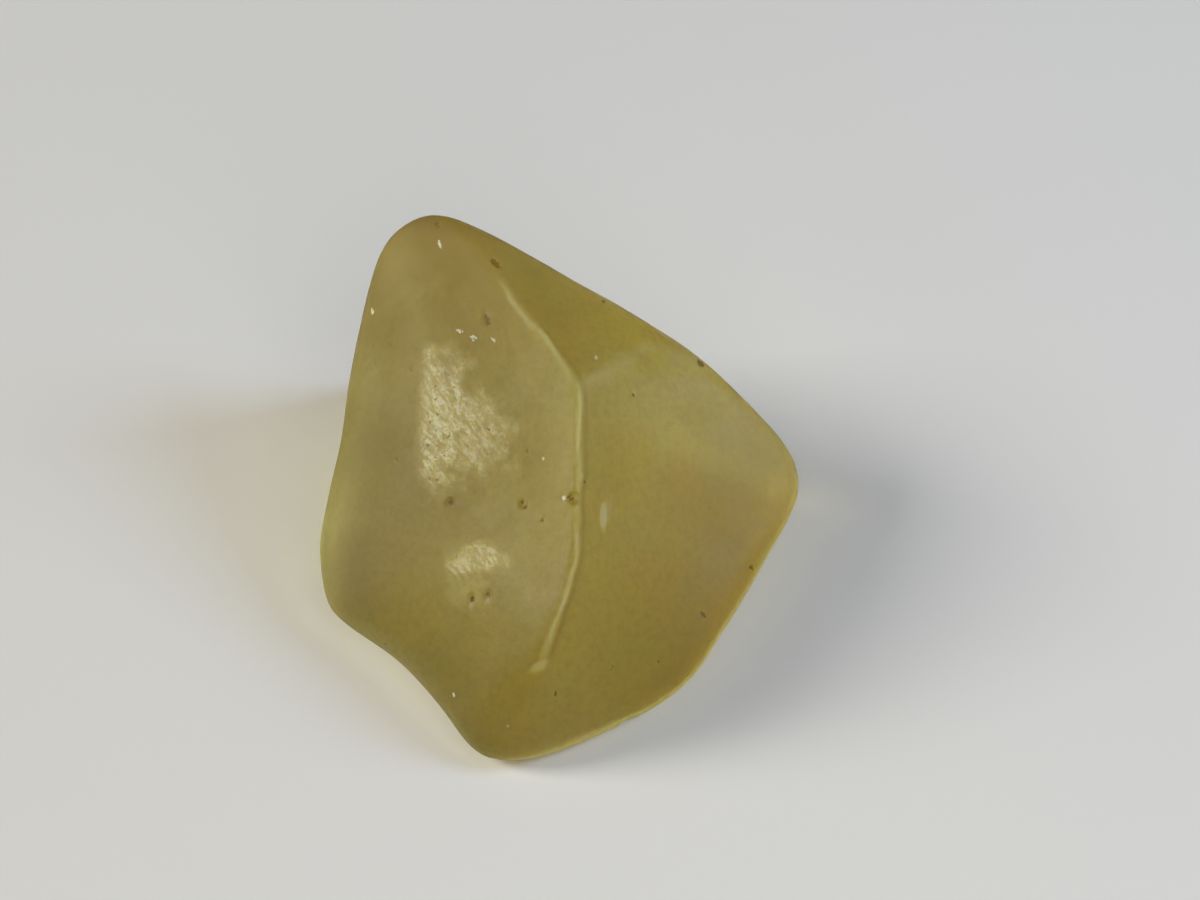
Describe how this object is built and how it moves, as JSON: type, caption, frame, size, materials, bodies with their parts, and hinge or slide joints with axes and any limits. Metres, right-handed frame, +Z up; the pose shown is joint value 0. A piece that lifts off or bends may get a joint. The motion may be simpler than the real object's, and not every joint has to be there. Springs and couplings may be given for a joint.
{
  "type": "libyan desert glass",
  "caption": "Worn, faceted lump of see-through olive yellow natural glass, resting on its flat underside.",
  "frame": {"origin": "middle of the stone's box, on the surface it rests on", "axes": "+Z up from the flat underside, +X towards the blunt right-hand point, +Y towards the high tip at the back"},
  "size_m": [0.027, 0.027, 0.0158],
  "materials": {
    "frosted_glass": "sand-frosted, see-through olive yellow glass with ochre dirt in its pits"
  },
  "bodies": {
    "root": {"desert_glass": "frosted_glass"}
  },
  "joints": []
}
